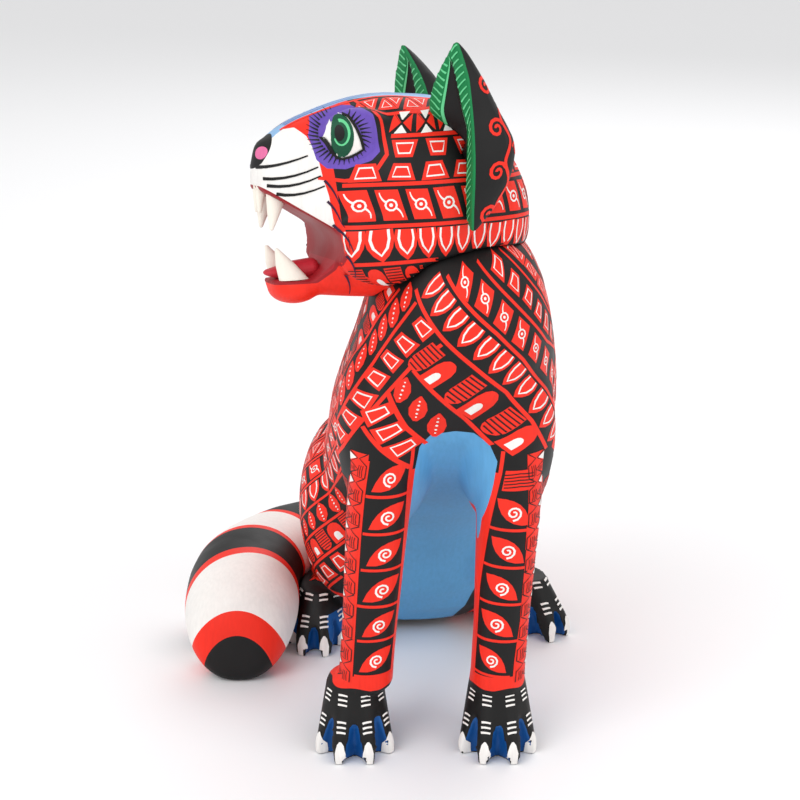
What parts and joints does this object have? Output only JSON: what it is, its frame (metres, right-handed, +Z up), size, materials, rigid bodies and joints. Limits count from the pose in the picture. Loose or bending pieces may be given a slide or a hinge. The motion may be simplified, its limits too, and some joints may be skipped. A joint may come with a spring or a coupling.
{
  "type": "carved wooden alebrije figure",
  "caption": "Seated raccoon-like alebrije carved from copal wood, head turned to its right with open jaws, plug-in ears and a plug-in ringed tail curled along its side.",
  "frame": {"origin": "on the ground, under the middle of the bounding box", "axes": "+Z up, the chest and front feet face -Y, the snout points towards -X, +X is the figure's left"},
  "size_m": [0.1565, 0.1816, 0.2557],
  "materials": {
    "carving_paint": "matte acrylic paint, red-orange ground with fine brushed pattern, on carved copal wood",
    "ear_paint": "matte acrylic paint, green in front and black behind, on carved copal wood",
    "tail_paint": "matte acrylic paint, white and black rings, on carved copal wood",
    "tooth_paint": "matte ivory paint on whittled wood",
    "tongue_paint": "matte dark red paint on whittled wood",
    "bare_wood": "unpainted turned dowel"
  },
  "bodies": {
    "carving": {"body": "carving_paint", "head": "carving_paint", "neck_dowel": "bare_wood", "tongue": "tongue_paint", "incisor_left": "tooth_paint", "incisor_right": "tooth_paint", "upper_fang_left": "tooth_paint", "upper_fang_right": "tooth_paint", "lower_fang_left": "tooth_paint", "lower_fang_right": "tooth_paint"},
    "ear_left": {"ear_left": "ear_paint"},
    "ear_right": {"ear_right": "ear_paint"},
    "tail": {"tail": "tail_paint"}
  },
  "joints": [
    {"name": "ear_left_pull", "type": "slide", "parent": "carving", "child": "ear_left", "axis": [0.2048, -0.6301, 0.749], "range_m": [0, 0.014]},
    {"name": "ear_right_pull", "type": "slide", "parent": "carving", "child": "ear_right", "axis": [-0.2635, 0.8108, 0.5226], "range_m": [0, 0.014]},
    {"name": "tail_pull", "type": "slide", "parent": "carving", "child": "tail", "axis": [-0.6157, 0.788, 0], "range_m": [0, 0.024]}
  ]
}
